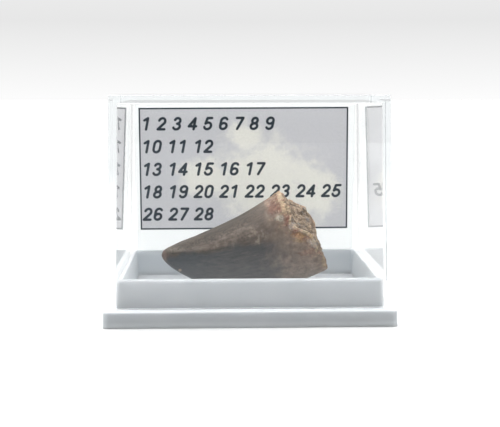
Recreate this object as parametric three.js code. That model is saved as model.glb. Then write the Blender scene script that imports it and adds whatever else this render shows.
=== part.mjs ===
// Fossil mosasaur tooth lying in the tray of a small clear display box, with a label card behind it.
// Millimetres, +Z up, front towards -Y, +X to the right.
// The origin is at the middle of the box's footprint, on the surface that it stands on.
import * as THREE from 'three';

// White moulded base: a flange with a raised block, and a shallow tray sunk into the block.
const FLANGE_WIDTH = 54.5;
const FLANGE_DEPTH = 42.6;
const FLANGE_HEIGHT = 3.2;
const BLOCK_WIDTH = 49.5;
const BLOCK_DEPTH = 36.4;
const BLOCK_RISE = 5.4;
const BLOCK_LEAN = 0.035;
const RIM_THICKNESS = 0.95;
const TRAY_DEPTH = 5.45;
const TRAY_LEAN = 0.07;
const FLANGE_CORNER = 0.9;
const BLOCK_CORNER = 0.6;
const TRAY_CORNER = 0.7;
const BASE_EDGE = 0.3;
const RIM_ROUND = 0.8;
const INNER_EDGE = 0.12;
const FOOT_EDGE = 0.08;
const FOOT_WIDTH = 2.2;
const FOOT_POCKET = 1.7;
const POCKET_CORNER = 0.75;
const POCKET_LEAN = 0.15;

// Clear moulded cover, open below, that drops over the block and stands on the flange.
const COVER_WALL = 1.48;
const COVER_TOP = 42.7;
const COVER_LEAN = 0.0217;
const SIDE_PLAY = 0.25;
const FRONT_PLAY = 0.3;
const REAR_PLAY = 0.95;
const COVER_EDGE = 0.3;
const COVER_FOOT_EDGE = 0.12;
const COVER_INNER_CORNER = 0.15;
const COVER_OUTER_CORNER = 0.45;
const STANDING_GAP = 0.05;

// Label card held upright in the slot between the block and the cover's rear wall.
const CARD_WIDTH = 47.6;
const CARD_THICKNESS = 0.3;
const CARD_TOP = 40.4;
const CARD_BACK_GAP = 0.2;
const CARD_CORNER = 0.05;

// Tooth: distances run from its tip along +X, and every section stands across that line.
const TIP_X = -17.45;
const TIP_Z = 10.25;
const AXIS_FALL = 0.175;
const AXIS_RISE = 0.0132;
const CROWN_SWELL = 1.45;
const CROWN_POWER = 0.607;
const CROWN_SLIMNESS = 0.76;
const CROWN_TOP_SHARE = 0.945;
const CROWN_SHOULDER = 0.18;
const CROWN_CENTRE_Y = 0.3;
const KEEL_HEIGHT = 0.02;
const KEEL_SPREAD = 0.16;
const FLUTE_COUNT = 9;
const FLUTE_DEPTH = 0.006;
const DENT_DEPTH = 0.01;
const DENT_SIZE = 4.2;
const DENT_PHASE = 7;
const TIP_BLUNT = 0.32;
const TIP_BLUNT_FADE = 1.3;
const TIP_BLUNT_START = 0.45;
const TIP_BLUNT_SHARES = [0.6, 0.4];
const RIDGE_HEIGHT = 0.1;
const RIDGE_SPREAD = 0.3;
const RIDGE_SOFTNESS = 0.04;
const RIDGE_ANGLES = [0.4, 0.2];
const RIDGE_TURN_END = 8;
const RIDGE_RISE = [0.3, 3];
const RIDGE_FALL = [9, 18];
const RIDGE_FALL_SHARE = 0.7;

// Broken end of the tooth: where the break stands at each height, how it turns, and its relief.
const BREAK_REACH = 16.2;
const BREAK_HEIGHT = 7.5;
const BREAK_SLOPE = 0.159;
const BREAK_POWER = 1.5;
const CHIN_SLOPE = 1.0;
const CHIN_POWER = 1.1;
const TURN_HEIGHT = 17.3;
const TURN_SPREAD = 2.8;
const TURN_AMOUNT = 0.38;
const TURN_BASE = 0.04;
const TURN_BEHIND = 0.5;
const SPUR_REACH = 1.1;
const SPUR_HEIGHT = 19.1;
const SPUR_SPREAD = 0.9;
const SPUR_DEPTH = 2.5;
const RIM_LUMP = 0.45;
const RIM_LUMP_SIZE = 1.7;
const RIM_LUMP_PHASE = 3.5;
const CRUST_START = 0.84;
const CRUST_STEP = 0.55;
const PIT_DEPTH = 1.0;
const PIT_SIZE = 2.7;
const PIT_PHASES = [11, 1.5];
const GRAIN_DEPTH = 0.45;
const GRAIN_SIZE = 1.2;
const GRAIN_PHASES = [5, 8.5];

// Fineness of the meshes, and of the search for the tooth's rim.
const CORNER_STEPS = 4;
const CROWN_ROWS = 30;
const CROWN_SIDES = 54;
const BREAK_ROWS = 12;
const ROW_CROWDING = 1.5;
const SEARCH_FROM = 5;
const SEARCH_TO = 45;
const HALVINGS = 40;

// Fixed numbers that scatter the heights of the lumps.
const SCATTER_STEPS = [127.1, 311.7, 74.7];
const SCATTER_GAIN = 43758.5453;

// Helpers

// A closed solid of the given triangles, with its own material.
function solid(name, points, faces, material) {
  const geometry = new THREE.BufferGeometry();
  geometry.setAttribute('position', new THREE.Float32BufferAttribute(points.flat(), 3));
  geometry.setIndex(faces.flat());
  geometry.computeVertexNormals();
  const mesh = new THREE.Mesh(geometry, material);
  mesh.name = name;
  return mesh;
}

// The skin between neighbouring rings of equal length; each ring turns anticlockwise about its own way on.
function skin(ringCount, sides) {
  const faces = [];
  for (let ring = 0; ring < ringCount - 1; ring += 1) {
    for (let side = 0; side < sides; side += 1) {
      const next = (side + 1) % sides;
      const here = ring * sides;
      const there = here + sides;
      faces.push([here + side, here + next, there + next]);
      faces.push([here + side, there + next, there + side]);
    }
  }
  return faces;
}

// A rounded rectangle at one height: half width, half depth, corner radius, height, shift along Y.
function roundedRing({ x, y, r, z, shift = 0 }) {
  const points = [];
  for (let corner = 0; corner < 4; corner += 1) {
    const centreX = (corner === 0 || corner === 3 ? 1 : -1) * (x - r);
    const centreY = (corner < 2 ? 1 : -1) * (y - r) + shift;
    for (let step = 0; step <= CORNER_STEPS; step += 1) {
      const angle = (corner + step / CORNER_STEPS) * Math.PI / 2;
      points.push([centreX + r * Math.cos(angle), centreY + r * Math.sin(angle), z]);
    }
  }
  return points;
}

// A moulded shell: its wall's outline carried round a rounded rectangle, closed flat at both ends.
function mouldedShell(name, rings, material) {
  const sides = 4 * (CORNER_STEPS + 1);
  const points = rings.flatMap(roundedRing);
  const faces = skin(rings.length, sides);
  const last = (rings.length - 1) * sides;
  for (let side = 1; side < sides - 1; side += 1) {
    faces.push([0, side + 1, side]);
    faces.push([last, last + side, last + side + 1]);
  }
  return solid(name, points, faces, material);
}

// Base

function makeBase() {
  const flangeX = FLANGE_WIDTH / 2;
  const flangeY = FLANGE_DEPTH / 2;
  const blockX = BLOCK_WIDTH / 2;
  const blockY = BLOCK_DEPTH / 2;
  const foot = BLOCK_RISE * BLOCK_LEAN;
  const top = FLANGE_HEIGHT + BLOCK_RISE;
  const sink = TRAY_DEPTH * TRAY_LEAN;
  const floor = top - TRAY_DEPTH;
  const innerX = blockX - RIM_THICKNESS;
  const innerY = blockY - RIM_THICKNESS;
  const pocketX = flangeX - FOOT_WIDTH;
  const pocketY = flangeY - FOOT_WIDTH;
  const edge = BASE_EDGE;
  const at = (x, y, r, inset, z) => ({ x: x - inset, y: y - inset, r: r - inset, z });
  return mouldedShell('base_tray', [
    at(pocketX, pocketY, POCKET_CORNER, POCKET_LEAN, FOOT_POCKET),
    at(pocketX, pocketY, POCKET_CORNER, 0, 0),
    at(flangeX, flangeY, FLANGE_CORNER, 0, 0),
    at(flangeX, flangeY, FLANGE_CORNER, -FOOT_EDGE, edge / 2),
    at(flangeX, flangeY, FLANGE_CORNER, 0, FLANGE_HEIGHT - edge),
    at(flangeX, flangeY, FLANGE_CORNER, edge, FLANGE_HEIGHT),
    at(blockX, blockY, BLOCK_CORNER, -foot, FLANGE_HEIGHT),
    at(blockX, blockY, BLOCK_CORNER, 0, top - RIM_ROUND),
    at(blockX, blockY, BLOCK_CORNER, edge / 3, top - RIM_ROUND / 3),
    at(blockX, blockY, BLOCK_CORNER, edge, top),
    at(innerX, innerY, TRAY_CORNER, -INNER_EDGE, top),
    at(innerX, innerY, TRAY_CORNER, 0, top - INNER_EDGE),
    at(innerX, innerY, TRAY_CORNER, sink, floor + edge),
    at(innerX, innerY, TRAY_CORNER, sink + edge, floor),
  ], new THREE.MeshStandardMaterial({ color: '#e9ecef', roughness: 0.42, metalness: 0 }));
}

// Cover

function makeCover() {
  const stand = FLANGE_HEIGHT + STANDING_GAP;
  const rimTop = FLANGE_HEIGHT + BLOCK_RISE;
  const ceiling = COVER_TOP - COVER_WALL;
  const shift = (REAR_PLAY - FRONT_PLAY) / 2;
  const halfX = BLOCK_WIDTH / 2 + SIDE_PLAY;
  const halfY = BLOCK_DEPTH / 2 + (FRONT_PLAY + REAR_PLAY) / 2;
  const at = (z, outward, r) => {
    const grow = outward + COVER_LEAN * (rimTop - z);
    return { x: halfX + grow, y: halfY + grow, r, z, shift };
  };
  const edge = COVER_EDGE;
  const footEdge = COVER_FOOT_EDGE;
  return mouldedShell('clear_cover', [
    at(ceiling, -COVER_INNER_CORNER, COVER_INNER_CORNER),
    at(ceiling - COVER_INNER_CORNER, 0, COVER_INNER_CORNER),
    at(stand, 0, COVER_INNER_CORNER),
    at(stand, COVER_WALL - footEdge, COVER_OUTER_CORNER),
    at(stand + footEdge, COVER_WALL, COVER_OUTER_CORNER),
    at(COVER_TOP - edge, COVER_WALL, COVER_OUTER_CORNER),
    at(COVER_TOP, COVER_WALL - edge, COVER_OUTER_CORNER),
  ], new THREE.MeshStandardMaterial({ color: '#f4f8fb', roughness: 0.04, metalness: 0 }));
}

// Label card

function makeCard() {
  const rimTop = FLANGE_HEIGHT + BLOCK_RISE;
  const low = FLANGE_HEIGHT + STANDING_GAP;
  const at = (z) => {
    const wall = BLOCK_DEPTH / 2 + REAR_PLAY + COVER_LEAN * (rimTop - z);
    return {
      x: CARD_WIDTH / 2,
      y: CARD_THICKNESS / 2,
      r: CARD_CORNER,
      z,
      shift: wall - CARD_BACK_GAP - CARD_THICKNESS / 2,
    };
  };
  return mouldedShell('label_card', [at(low), at(CARD_TOP)],
    new THREE.MeshStandardMaterial({ color: '#c9c9cc', roughness: 0.8, metalness: 0 }));
}

// Tooth

// A fixed height between -1 and 1 for each whole step along three directions.
function lattice(i, j, k) {
  const [stepI, stepJ, stepK] = SCATTER_STEPS;
  const wave = Math.sin(i * stepI + j * stepJ + k * stepK) * SCATTER_GAIN;
  return 2 * (wave - Math.floor(wave)) - 1;
}

// Smooth lumps: the heights at the eight whole steps around a place, blended in between.
function lumps(u, v, w) {
  const [i, j, k] = [Math.floor(u), Math.floor(v), Math.floor(w)];
  const ease = (t) => t * t * (3 - 2 * t);
  const [a, b, c] = [ease(u - i), ease(v - j), ease(w - k)];
  let height = 0;
  for (const [di, dj, dk] of [[0, 0, 0], [0, 0, 1], [0, 1, 0], [0, 1, 1],
    [1, 0, 0], [1, 0, 1], [1, 1, 0], [1, 1, 1]]) {
    const share = (di ? a : 1 - a) * (dj ? b : 1 - b) * (dk ? c : 1 - c);
    height += share * lattice(i + di, j + dj, k + dk);
  }
  return height;
}

const step01 = (low, high, value) => THREE.MathUtils.smoothstep(value, low, high);

// The lengthwise ridge on the crown's near side, as a share of the half height: it turns slightly
// upwards behind the tip and dies away towards the break.
function ridgeShare(distance, angle) {
  const turn = (RIDGE_ANGLES[1] - RIDGE_ANGLES[0]) * step01(0, RIDGE_TURN_END, distance);
  const off = Math.hypot(angle - (Math.PI - RIDGE_ANGLES[0] - turn), RIDGE_SOFTNESS);
  const along = step01(...RIDGE_RISE, distance) * (1 - RIDGE_FALL_SHARE * step01(...RIDGE_FALL, distance));
  return RIDGE_HEIGHT * along * Math.exp(-off / RIDGE_SPREAD);
}

// The crown's skin: an oval section whose half height is a power of the distance from the tip, on a
// centre line that dips and then rises, with a shoulder, a keel along the top, a ridge along the near
// side, flutes, dents and a slightly blunt tip.
function crownPoint(distance, angle, floor) {
  const half = CROWN_SWELL * distance ** CROWN_POWER;
  const centre = TIP_Z - AXIS_FALL * distance + AXIS_RISE * distance * distance;
  const side = Math.cos(angle);
  const up = Math.sin(angle);
  const fromTop = Math.atan2(side, up);
  const keel = KEEL_HEIGHT * Math.exp(-((fromTop / KEEL_SPREAD) ** 2));
  const flutes = FLUTE_DEPTH * Math.cos(FLUTE_COUNT * angle);
  const across = side * half / DENT_SIZE + DENT_PHASE;
  const dents = DENT_DEPTH * lumps(distance / DENT_SIZE, across, up * half / DENT_SIZE);
  const atTip = TIP_BLUNT * step01(0, TIP_BLUNT_START, distance) * Math.exp(-distance / TIP_BLUNT_FADE);
  const blunt = atTip * (TIP_BLUNT_SHARES[0] + TIP_BLUNT_SHARES[1] * up);
  const swell = half * (1 + keel + flutes + dents + ridgeShare(distance, angle)) + blunt;
  const lift = up > 0 ? CROWN_TOP_SHARE * up : up;
  const z = centre + swell * (lift + CROWN_SHOULDER * side * side);
  return [TIP_X + distance, CROWN_CENTRE_Y + CROWN_SLIMNESS * swell * side, Math.max(z, floor)];
}

// How far to the right the break stands at a place across the tooth: it slopes back as it rises and, more
// steeply, below its foremost height, turns about its apex, has a spur on the far side, and is lumpy.
function breakX(y, z) {
  const above = Math.max(z - BREAK_HEIGHT, 0);
  const below = Math.max(BREAK_HEIGHT - z, 0);
  const turn = TURN_BASE + TURN_AMOUNT * Math.exp(-(((z - TURN_HEIGHT) / TURN_SPREAD) ** 2));
  const lean = turn * Math.min(y, TURN_BEHIND * y);
  const spurShare = Math.exp(-(((z - SPUR_HEIGHT) / SPUR_SPREAD) ** 2));
  const spur = SPUR_REACH * spurShare * THREE.MathUtils.clamp(y / SPUR_DEPTH, 0, 1);
  const lump = RIM_LUMP * lumps(y / RIM_LUMP_SIZE, z / RIM_LUMP_SIZE, RIM_LUMP_PHASE);
  const slope = BREAK_SLOPE * above ** BREAK_POWER + CHIN_SLOPE * below ** CHIN_POWER;
  return BREAK_REACH - slope + lean + spur + lump;
}

// The distance from the tip at which the skin meets the break, found by halving.
function breakDistance(angle, floor) {
  let near = SEARCH_FROM;
  let far = SEARCH_TO;
  for (let turn = 0; turn < HALVINGS; turn += 1) {
    const middle = (near + far) / 2;
    const [x, y, z] = crownPoint(middle, angle, floor);
    if (x < breakX(y, z)) {
      near = middle;
    } else {
      far = middle;
    }
  }
  return near;
}

function makeTooth() {
  const floor = FLANGE_HEIGHT + BLOCK_RISE - TRAY_DEPTH + STANDING_GAP;
  const points = [];
  const angles = Array.from({ length: CROWN_SIDES }, (_, side) => 2 * Math.PI * side / CROWN_SIDES);
  const reaches = angles.map((angle) => breakDistance(angle, floor));
  for (let row = 1; row <= CROWN_ROWS; row += 1) {
    const share = (row / CROWN_ROWS) ** ROW_CROWDING;
    angles.forEach((angle, side) => points.push(crownPoint(reaches[side] * share, angle, floor)));
  }
  const rim = points.slice(-CROWN_SIDES);
  const middleY = CROWN_CENTRE_Y;
  const middleZ = (Math.max(...rim.map((point) => point[2])) + floor) / 2;
  for (let row = BREAK_ROWS - 1; row >= 1; row -= 1) {
    const share = row / BREAK_ROWS;
    rim.forEach((point) => {
      const y = middleY + share * (point[1] - middleY);
      const z = middleZ + share * (point[2] - middleZ);
      points.push([breakX(y, z) + breakRelief(y, z, share), y, z]);
    });
  }
  const faces = skin(CROWN_ROWS + BREAK_ROWS - 1, CROWN_SIDES);
  const tip = points.length;
  points.push([TIP_X, CROWN_CENTRE_Y, TIP_Z]);
  const heart = points.length;
  points.push([breakX(middleY, middleZ) + breakRelief(middleY, middleZ, 0), middleY, middleZ]);
  const last = heart - 1 - CROWN_SIDES;
  for (let side = 0; side < CROWN_SIDES; side += 1) {
    const next = (side + 1) % CROWN_SIDES;
    faces.push([tip, next, side]);
    faces.push([last + side, last + next, heart]);
  }
  return solid('tooth', points, faces,
    new THREE.MeshStandardMaterial({ color: '#6f655f', roughness: 0.5, metalness: 0 }));
}

// Relief inside the break: it drops behind the crust at the rim, then runs in pits and grains.
function breakRelief(y, z, share) {
  const inside = 1 - step01(CRUST_START, 1, share);
  const pits = PIT_DEPTH * lumps(y / PIT_SIZE + PIT_PHASES[0], z / PIT_SIZE, PIT_PHASES[1]);
  const grains = GRAIN_DEPTH * lumps(y / GRAIN_SIZE, z / GRAIN_SIZE + GRAIN_PHASES[0], GRAIN_PHASES[1]);
  return inside * (pits + grains - CRUST_STEP);
}

const object = new THREE.Group();
object.add(makeBase(), makeCover(), makeCard(), makeTooth());

export default object;
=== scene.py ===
"""Fossil mosasaur tooth in a small clear display box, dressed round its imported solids.

Lengths are in millimetres, unless a comment says otherwise. They are turned to metres where a mesh or the
camera is made, and the materials read their places in millimetres too.
"""
import math

import bpy
import numpy as np
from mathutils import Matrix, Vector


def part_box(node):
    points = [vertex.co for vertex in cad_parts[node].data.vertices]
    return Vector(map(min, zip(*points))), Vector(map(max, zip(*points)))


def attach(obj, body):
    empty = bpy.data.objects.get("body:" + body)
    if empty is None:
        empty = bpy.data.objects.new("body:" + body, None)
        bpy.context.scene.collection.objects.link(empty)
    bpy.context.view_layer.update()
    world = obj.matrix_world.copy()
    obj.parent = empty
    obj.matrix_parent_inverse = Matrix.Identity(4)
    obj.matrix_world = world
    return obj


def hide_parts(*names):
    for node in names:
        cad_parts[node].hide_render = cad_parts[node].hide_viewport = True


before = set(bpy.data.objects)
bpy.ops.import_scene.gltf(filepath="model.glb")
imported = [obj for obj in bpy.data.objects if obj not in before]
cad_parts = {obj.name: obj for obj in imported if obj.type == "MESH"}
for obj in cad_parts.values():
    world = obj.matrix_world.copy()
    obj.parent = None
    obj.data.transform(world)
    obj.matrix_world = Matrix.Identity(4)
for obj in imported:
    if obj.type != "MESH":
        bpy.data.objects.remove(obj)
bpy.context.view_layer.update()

MM = 0.001

# White moulded base, as in the solids: a flange, a raised block and a tray sunk into it.
FLANGE_WIDTH, FLANGE_DEPTH, FLANGE_HEIGHT = 54.5, 42.6, 3.2
BLOCK_WIDTH, BLOCK_DEPTH, BLOCK_RISE, BLOCK_LEAN = 49.5, 36.4, 5.4, 0.035
RIM_THICKNESS, TRAY_DEPTH, TRAY_LEAN, TRAY_END = 0.95, 5.45, 0.07, 1.2
FOOT_WIDTH, FOOT_FLARE, FOOT_POCKET, POCKET_LEAN, POCKET_END = 2.2, 0.1, 1.7, 0.15, 0.8
RIM_TOP = FLANGE_HEIGHT + BLOCK_RISE
TRAY_FLOOR = RIM_TOP - TRAY_DEPTH
# Corner radius and cut at each key of the base's outline: pocket, foot, flange, block, rim and tray.
BASE_CORNERS = (
    (0.4, 0.0), (0.6, 0.25), (0.75, 0.15), (0.9, 0.1), (0.9, 0.5),
    (0.7, 0.15), (0.6, 0.85), (0.7, 0.16), (0.6, 0.4), (0.4, 0.0),
)

# Clear moulded cover: its corner radii inside and outside, and the cuts and end flats of its outline.
COVER_WALL, COVER_TOP, COVER_LEAN = 1.48, 42.7, 0.0217
SIDE_PLAY, FRONT_PLAY, REAR_PLAY = 0.25, 0.3, 0.95
STANDING_GAP = 0.05
COVER_FOOT = FLANGE_HEIGHT + STANDING_GAP
COVER_CORNERS, COVER_CUTS, COVER_FLATS = (0.1, 0.2), (0.12, 0.03, 0.1, 0.16), (1.2, 1.6)

# Tooth: the same outline and break as in the solids.
TIP_X, TIP_Z, CROWN_CENTRE_Y = -17.45, 10.25, 0.3
AXIS_FALL, AXIS_RISE = 0.175, 0.0132
CROWN_SWELL, CROWN_POWER, CROWN_SLIMNESS = 1.45, 0.607, 0.76
CROWN_TOP_SHARE, CROWN_SHOULDER = 0.945, 0.18
KEEL_HEIGHT, KEEL_SPREAD = 0.02, 0.16
FLUTE_COUNT, FLUTE_DEPTH = 9, 0.006
DENT_DEPTH, DENT_SIZE, DENT_SHIFT = 0.01, 4.2, 7
BREAK_REACH, BREAK_HEIGHT, BREAK_SLOPE, BREAK_POWER = 16.2, 7.5, 0.159, 1.5
CHIN_SLOPE, CHIN_POWER = 1.0, 1.1
TURN_HEIGHT, TURN_SPREAD, TURN_AMOUNT, TURN_BASE, TURN_BEHIND = 17.3, 2.8, 0.38, 0.04, 0.5
RIM_LUMP, RIM_LUMP_SIZE = 0.45, 1.7
SPUR_REACH, SPUR_HEIGHT, SPUR_SPREAD, SPUR_DEPTH = 1.1, 19.1, 0.9, 2.5
# Bulge behind and swells in front, each as reach, height and spread, and the depth where the swells set in.
BULGE_REACH, BULGE_HEIGHT, BULGE_SPREAD = 0.6, 14.6, 2.6
NEAR_SWELLS, NEAR_DEPTH = ((2.0, 16.1, 1.1), (0.7, 14.6, 1.2), (0.7, 19.0, 1.6)), (3.0, 6.8)

# Break: the drop behind its crust, pits, grains, chunks with cracks between them, and crumbs. The last
# number of each crumb layer, and the slices, pick one slice each out of the field of lumps.
CRUST_START, CRUST_STEP = 0.84, 0.55
PIT_DEPTH, PIT_SIZE, PIT_SHIFT = 1.0, 2.7, 11
GRAIN_DEPTH, GRAIN_SIZE, GRAIN_SHIFT = 0.45, 1.2, 5
CHUNK_SIZE, CHUNK_DEPTH, CHUNK_SCATTER, CHUNK_TILT, CHUNK_WARP = 1.5, 0.26, 0.42, 0.9, 0.35
SMALL_CHUNK_SHARE, SMALL_CHUNK_RATE, SMALL_CHUNK_SHIFT = 0.5, 2.3, 4
CRACK_DEPTH, CRACK_WIDTH = 1.0, 0.12
CRUMBS = ((0.14, 0.6, 2.5), (0.1, 0.3, 6.5))
RIM_SLICE, PIT_SLICE, GRAIN_SLICE, WARP_SLICES = 3.5, 1.5, 8.5, (4.5, 7.5)
FINE_FADE = 10
FAR_OFF, TINY = 9.0, 1e-9
LATTICE_WEIGHTS, LATTICE_SPREAD = (127.1, 311.7, 74.7), 43758.5453

# Skin: layers of lumps as height, length along the crown and width across it, then the crust's ragged
# start before the rim, the blunt tip and the lengthwise ridge with the distances where it comes and goes.
STRIAE = ((0.009, 6.0, 0.28), (0.018, 8.0, 0.75))
WEAR = ((0.06, 2.2, 1.6), (0.02, 0.7, 0.6))
CRUST_LUMPS = ((0.15, 1.3, 1.3), (0.11, 0.6, 0.6), (0.06, 0.3, 0.3))
CRUST_RAGGED, CRUST_REACH = ((0.9, 1.8, 1.8),), (-3.4, -0.4)
CALM_END = 3
TIP_BLUNT, TIP_START, TIP_FADE, TIP_SHARES = 0.32, 0.45, 1.3, (0.6, 0.4)
RIDGE_HEIGHT, RIDGE_SPREAD, RIDGE_ROUND, RIDGE_START, RIDGE_END = 0.1, 0.3, 0.04, 0.4, 0.2
RIDGE_DRIFT, RIDGE_RISE, RIDGE_FALL, RIDGE_LOSS = (0, 8), (0.3, 3), (9, 18), 0.7

# Tooth's mesh: rows and sides, how the rows crowd at the tip, the search for the break along each line,
# the ripples of the rim, and the band where the break meets it.
CROWN_ROWS, CROWN_SIDES, BREAK_ROWS = 226, 316, 90
ROW_POWER, SEARCH_FROM, SEARCH_TO, SEARCH_STEPS = 1.25, 5.0, 45.0, 40
RIM_RIPPLES = ((0.2, 10, 0.5), (0.3, 5, 1.5))
RIM_BAND = (0.8, 1)
STREAK_RADIUS, STREAK_LENGTH = 7.0, 0.06
TIP_GAP = -30.0

# Marks on the tooth's near side: centre, half sizes and turn, then strength or colour and strength. Of
# the stains, the first two are a pale band of painted highlight and the next two dark bands of painted
# shade.
SCRATCHED = ((-5.0, 9.8), (13.0, 2.8), 0.0)
SPECKS = (
    ((-2.9, 14.7), (5.4, 1.8), 0.5, 0.75),
    ((-8.4, 12.4), (2.6, 0.8), 0.25, 0.7),
    ((1.5, 15.3), (2.2, 2.2), 0.4, 1.55),
    ((6.0, 10.0), (4.5, 2.6), 0.0, 0.3),
)
STAINS_AND_PAINTED_LIGHT = (
    # Painted highlight: a pale band just above the ridge near the tip.
    ((-14.4, 11.7), (2.3, 0.6), 0.1, "#9a958a", 0.5),
    ((-10.6, 12.1), (3.0, 0.5), 0.14, "#968f86", 0.4),
    # Painted shade: dark bands along the crown's top edge.
    ((-11.0, 13.6), (6.5, 1.1), 0.42, "#4d453c", 0.65),
    ((-5.0, 16.6), (7.0, 1.7), 0.46, "#484037", 0.68),
    ((-17.1, 9.7), (0.9, 1.7), 0.0, "#8a7569", 0.75),
    ((-13.7, 7.4), (0.35, 0.3), 0.0, "#c3aea2", 0.85),
    ((4.9, 20.4), (1.5, 1.2), 0.5, "#835b4b", 0.75),
    ((3.9, 20.9), (0.7, 0.5), 0.5, "#b9a294", 0.5),
    ((6.3, 22.3), (0.5, 0.9), 0.0, "#ead9bf", 0.6),
    ((6.9, 20.4), (0.5, 1.5), 0.3, "#dcc7a3", 0.5),
    ((6.1, 18.6), (0.9, 0.65), 0.0, "#c4c2b4", 0.7),
    ((7.6, 18.0), (0.6, 1.3), 0.3, "#94695a", 0.6),
    ((8.6, 17.2), (1.0, 0.7), 0.5, "#d8cdc2", 0.8),
    ((9.4, 17.4), (0.8, 0.6), -0.3, "#eadfd2", 0.85),
    ((10.5, 16.4), (0.95, 0.42), -0.4, "#ecdcc2", 0.9),
    ((12.1, 15.3), (0.95, 0.45), -0.8, "#e2bd8f", 0.85),
    ((13.1, 13.9), (1.1, 0.5), -1.0, "#e9e0d2", 0.85),
    ((11.6, 11.9), (1.7, 0.7), 0.3, "#a98270", 0.45),
    ((10.6, 14.6), (1.0, 0.5), 0.4, "#844f38", 0.45),
    ((9.7, 15.2), (1.3, 0.8), -0.15, "#cda06c", 0.6),
    ((11.9, 14.4), (0.9, 0.5), -0.7, "#bd8760", 0.6),
    ((9.9, 14.2), (1.4, 0.5), -0.1, "#b9a074", 0.4),
    ((9.2, 15.7), (0.6, 0.7), 0.0, "#7a5040", 0.55),
    ((12.5, 13.7), (1.5, 0.55), -0.75, "#cdc6bc", 0.65),
    ((15.3, 9.6), (0.7, 1.6), 0.0, "#c6ae88", 0.6),
)

# Print on the card: border, grey ground and running numbers, in millimetres from the card's foot.
CARD_THICKNESS, CARD_CELL, CARD_BOW = 0.3, 0.21, 0.12
PRINT_LEFT, PRINT_RIGHT, PRINT_LOW, PRINT_HIGH = -22.75, 22.45, 9.95, 36.3
PRINT_TURN, PRINT_EDGE, NUMERAL_EDGE, BORDER_EDGE = 0.0035, (-0.05, 0.05), (-0.06, 0.06), (0.12, 0.22)
ROW_PITCH, FIRST_ROW, ROW_COUNT = 4.95, 11.75, 5
ROW_ENDS = (9, 12, 17, 25, 28)
NUMERAL_HEIGHT, NUMERAL_SLANT, STROKE_WIDTH = 2.9, 0.2, 0.56
NUMERAL_X, DIGIT_BREADTH, DIGIT_STEP, WORD_GAP = -22.5, 1.05, 2.25, 1.1
ARC_POINTS = 14
# Cloud: the centre and half sizes of its lobes, how softly they join, its ragged edge and where it ends.
CLOUD_LOBES = (
    (4.4, 20.3, 13.5, 11.0), (-8.8, 21.4, 7.0, 5.5), (15.4, 18.1, 6.5, 7.7), (0.0, 30.0, 4.6, 4.2),
)
CLOUD_JOIN, CLOUD_RAGGED, CLOUD_EDGE = 0.35, 1.6, (1.25, 1.85)

# Noises: the size of the lumps in millimetres, the detail and the roughness. STREAK and HAIR run on the
# tooth's own attribute, which is squeezed along the crown.
FLOW, SATIN, WAVE, SCUFF = (6.0, 3.0, 0.5), (0.35, 4.0, 0.65), (9.0, 1.0, 0.5), (1.3, 6.0, 0.7)
WARP, FIBRE, PLAIN_FIBRE = (1 / 0.24, 8.0, 0.68), (1 / 2.6, 4.0, 0.7), (0.4, 4.0, 0.7)
STREAK, HAIR, BROAD, BLOTCH = (1 / 2.6, 7.0, 0.62), (1 / 7.5, 3.0, 0.6), (4.5, 4.0, 0.6), (1.9, 3.0, 0.6)
MOTTLE, GRIT, FINE, HUE = (1.1, 5.0, 0.66), (0.42, 3.0, 0.7), (0.26, 2.0, 0.6), (0.85, 2.0, 0.6)
STAGE_GRAIN = (2.0, 3.0, 0.5)

# Plastic: tints by place, and where each starts and ends, some with its shares there. Besides the base
# tints they are painted light and shade: the foot, the ledge and the tray's walls paler, the tray's floor
# darker than its walls, and the top of the front rim greyer. The glosses go from a range of noise to a
# range of roughness.
BASE_TINTS = ((0.3, "#b6babd"), (0.7, "#bcbfc2"))
TRAY_PAINTED_LIGHT_AND_SHADE_TINTS, LEDGE_PAINTED_LIGHT_TINT, FOOT_PAINTED_LIGHT_TINT, RIM_PAINTED_SHADE_TINT = ("#b9bdc0", "#ccd0d3"), "#dadee1", "#e0e4e7", "#989b9e"
TRAY_EDGE, TRAY_RISE = (-0.05, 0.05), (TRAY_FLOOR + 0.1, TRAY_FLOOR + 1.0)
LEDGE_UNDER = (FLANGE_HEIGHT - 0.5, FLANGE_HEIGHT - 0.02)
LEDGE_OVER = (FLANGE_HEIGHT + 0.02, FLANGE_HEIGHT + 0.15)
FOOT_PAINTED_LIGHT, BRINK_BAND, BRINK_EDGE = (0.0, 1.3, 0.75, 0.0), (RIM_TOP - 0.2, RIM_TOP - 0.05), 0.1
BASE_GLOSS, BASE_SCATTER = (0.3, 0.7, 0.36, 0.5), 2.4
COVER_GLOSS, FOOT_FROST = (0.5, 0.8, 0.0, 0.02), (COVER_FOOT + 0.01, COVER_FOOT + 0.06, 0.5, 0.0)
COVER_TINT, HAZE_TINT, HAZE_DENSITY = "#fefefe", "#bcc7cb", 8.0

# Paper and ink.
PAPER_GLOW, PAPER_TINT, INK_TINT = 0.7, "#fbfcfc", "#2b333b"
GREY_GROUND, CLOUD_GROUND = ((0.35, "#c0c0c3"), (0.65, "#cbcacd")), ((0.35, "#d9d7d0"), (0.65, "#e6e4dd"))
PLAIN_GROUND = ((0.35, "#f6f8f8"), (0.65, "#fcfdfd"))

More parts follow.
